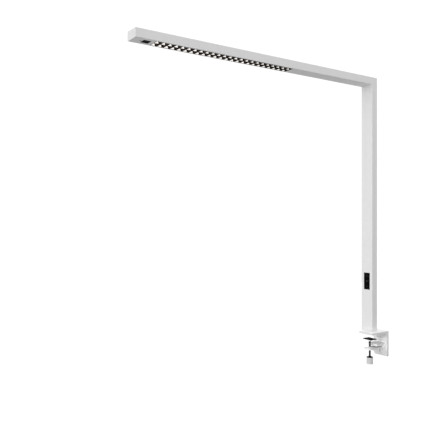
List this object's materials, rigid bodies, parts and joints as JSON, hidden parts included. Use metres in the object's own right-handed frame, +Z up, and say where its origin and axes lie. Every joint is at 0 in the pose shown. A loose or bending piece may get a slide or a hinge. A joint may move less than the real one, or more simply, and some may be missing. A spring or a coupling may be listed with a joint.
{
  "type": "desk-clamped task lamp",
  "caption": "L-shaped desk lamp: a flat rectangular arm with a celled louvre underneath, on a column with a touch panel, held by a screw clamp.",
  "frame": {"origin": "the point on the clamp liner's underside, where the lamp rests on the desk, straight above the clamp screw", "axes": "+X from the lamp's tip towards its column, square to the desk edge; +Z up along the column and the clamp screw; +Y along the desk edge, towards the side the column is offset to"},
  "size_m": [1.1459, 0.0835, 1.1812],
  "materials": {
    "white_paint": "fine satin powder coating, light warm-neutral white",
    "knob_plastic": "satin light grey moulding",
    "driver_case": "matt white moulding",
    "rubber": "matt black",
    "black_plastic": "satin black moulding",
    "black_glass": "high gloss black",
    "reflector": "bright metallised long walls and black cross walls",
    "opal_optic": "opal diffuser, lit from behind",
    "nylon": "natural nylon",
    "led_board": "white solder mask on an aluminium core",
    "circuit_board": "green solder mask",
    "bare_aluminium": "mill finish",
    "zinc_steel": "zinc plated",
    "black_steel": "black oxide, satin",
    "wire_sleeve": "matt sleeve"
  },
  "bodies": {
    "stand": {"clamp_bracket": "white_paint", "edge_grub": "black_steel", "desk_liner": "rubber", "foot_block": "bare_aluminium", "foot_screw_1": "zinc_steel", "foot_screw_2": "zinc_steel", "foot_grub_1": "black_steel", "foot_grub_2": "black_steel", "inlet_cap": "black_plastic", "power_inlet": "black_plastic", "column_profile": "white_paint", "arm_profile": "white_paint", "arm_end_cap": "white_paint", "corner_bracket": "bare_aluminium", "corner_screw_1": "zinc_steel", "corner_screw_2": "zinc_steel", "corner_screw_3": "zinc_steel", "corner_screw_4": "zinc_steel", "touch_panel": "black_glass", "touch_board": "circuit_board", "louvre_grid": "reflector", "optic_strip": "opal_optic", "led_board_1": "led_board", "led_board_2": "led_board", "heat_channel": "bare_aluminium", "sensor_window": "black_glass", "presence_sensor": "zinc_steel", "light_sensor": "black_plastic", "sensor_board": "circuit_board", "led_driver": "driver_case", "supply_lead": "wire_sleeve", "led_lead": "wire_sleeve", "sensor_lead": "wire_sleeve"},
    "jaw": {"lower_jaw": "white_paint", "thread_insert": "zinc_steel", "jaw_washer_plate": "zinc_steel", "jaw_screw_1": "zinc_steel", "jaw_screw_2": "zinc_steel"},
    "swivel": {"swivel_bush": "nylon"},
    "screw": {"spindle": "black_steel", "knob_collar": "black_plastic", "clamp_knob": "knob_plastic"},
    "pad": {"pad_socket": "zinc_steel", "pressure_pad": "black_steel", "pad_facing": "rubber"}
  },
  "joints": [
    {"name": "jaw_height", "type": "slide", "parent": "stand", "child": "jaw", "axis": [0, 0, 1], "range_m": [-0.024, 0]},
    {"name": "pad_travel", "type": "slide", "parent": "jaw", "child": "swivel", "axis": [0, 0, 1], "range_m": [-0.0145, 0.015]},
    {"name": "screw_spin", "type": "hinge", "parent": "swivel", "child": "screw", "pos_m": [0, 0, -0.0267], "axis": [0, 0, 1], "range_deg": [-4180, 4324]},
    {"name": "pad_tilt", "type": "hinge", "parent": "swivel", "child": "pad", "pos_m": [0, 0, -0.0267], "axis": [0, 1, 0], "range_deg": [-6, 6]}
  ],
  "couplings": [
    {"joint": "screw_spin", "follows": "pad_travel", "rad_per_m": 5026.5}
  ]
}
